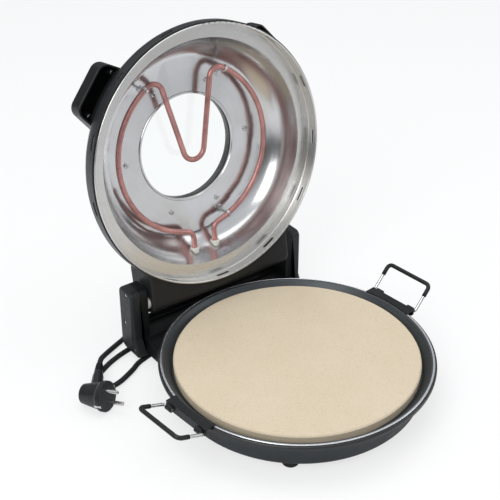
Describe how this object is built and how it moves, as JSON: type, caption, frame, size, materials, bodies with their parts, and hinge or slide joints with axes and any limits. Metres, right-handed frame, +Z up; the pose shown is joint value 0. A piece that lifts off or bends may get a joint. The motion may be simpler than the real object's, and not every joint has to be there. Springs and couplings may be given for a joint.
{
  "type": "electric pizza maker",
  "caption": "Round countertop cooker with a hinged domed lid, window, heating elements, lift-off pan with folding bails and a baking stone.",
  "frame": {"origin": "on the table, at the middle of the appliance's footprint without its cord", "axes": "+Z up, +Y towards the hinge at the rear, +X to the right seen from the front"},
  "size_m": [0.4339, 0.4762, 0.4018],
  "materials": {
    "bowl_paint": "satin slate grey paint",
    "ring_paint": "satin black paint",
    "shell_paint": "satin black paint",
    "reflector_steel": "brushed",
    "band_steel": "satin",
    "pan_steel": "satin, heat toned",
    "element_sheath": "oxidised metal sheath",
    "clip_steel": "satin",
    "screw_steel": "satin",
    "pin_steel": "ground",
    "bail_wire": "polished",
    "bracket_steel": "dark satin paint",
    "stand_plastic": "fine moulded texture",
    "cover_plastic": "fine moulded texture",
    "hinge_plastic": "fine moulded texture",
    "handle_plastic": "fine moulded texture",
    "sleeve_plastic": "heat-resistant sleeve",
    "foot_rubber": "matte",
    "gasket_rubber": "matte",
    "bumper_rubber": "matte",
    "bush_plastic": "bearing plastic",
    "ceramic": "glazed ceramic",
    "terminal_plastic": "moulded",
    "cutout_body": "moulded",
    "stone_cordierite": "unglazed cordierite",
    "window_glass": "clear tempered glass",
    "window_black": "satin black paint",
    "cord_jacket": "matte jacket",
    "plug_plastic": "moulded",
    "plug_metal": "plated"
  },
  "bodies": {
    "base": {"base_shell": "bowl_paint", "base_ring": "ring_paint", "base_reflector": "reflector_steel", "lower_element": "element_sheath", "lower_element_clips": "clip_steel", "feet": "foot_rubber", "foot_screws": "screw_steel", "rear_housing": "stand_plastic", "cover_left": "cover_plastic", "cover_right": "cover_plastic", "cover_screws": "screw_steel", "hinge_pins": "pin_steel", "terminal_block": "terminal_plastic", "thermal_cutout": "cutout_body", "cord_gland": "cord_jacket", "cord_tail": "cord_jacket", "cord_coil": "cord_jacket", "cord_run": "cord_jacket", "plug_strain_relief": "plug_plastic", "plug_body": "plug_plastic", "plug_pins": "plug_metal"},
    "lid": {"lid_shell": "shell_paint", "rim_band": "band_steel", "lid_reflector": "reflector_steel", "window_glass": "window_glass", "window_ring": "band_steel", "window_gasket": "gasket_rubber", "window_bezel": "window_black", "upper_element": "element_sheath", "element_bushes": "ceramic", "upper_element_clips": "clip_steel", "reflector_screws": "screw_steel", "lid_handle_left": "handle_plastic", "lid_handle_right": "handle_plastic", "handle_screws": "screw_steel", "hinge_block": "hinge_plastic", "hinge_bushes": "bush_plastic", "rear_bumpers": "bumper_rubber"},
    "pan": {"pan": "pan_steel", "bracket_left": "bracket_steel", "bracket_right": "bracket_steel"},
    "stone": {"baking_stone": "stone_cordierite"},
    "bail_left": {"bail_left": "bail_wire", "grip_left": "sleeve_plastic"},
    "bail_right": {"bail_right": "bail_wire", "grip_right": "sleeve_plastic"}
  },
  "joints": [
    {"name": "lid_hinge", "type": "hinge", "parent": "base", "child": "lid", "pos_m": [0.00472, 0.12091, 0.0755], "axis": [-1, 0, 0], "range_deg": [-98.9, 0]},
    {"name": "pan_lift", "type": "slide", "parent": "base", "child": "pan", "axis": [0, -0.5878, 0.809], "range_m": [0, 0.08]},
    {"name": "stone_lift", "type": "slide", "parent": "pan", "child": "stone", "axis": [0, 0, 1], "range_m": [0, 0.025]},
    {"name": "bail_right_fold", "type": "hinge", "parent": "pan", "child": "bail_right", "pos_m": [0.17666, -0.02713, 0.048], "axis": [0.0993, -0.9951, 0], "range_deg": [-82.6, 42.4]},
    {"name": "bail_left_fold", "type": "hinge", "parent": "pan", "child": "bail_left", "pos_m": [-0.16723, -0.06145, 0.048], "axis": [-0.0993, 0.9951, 0], "range_deg": [-57.5, 67.5]}
  ]
}
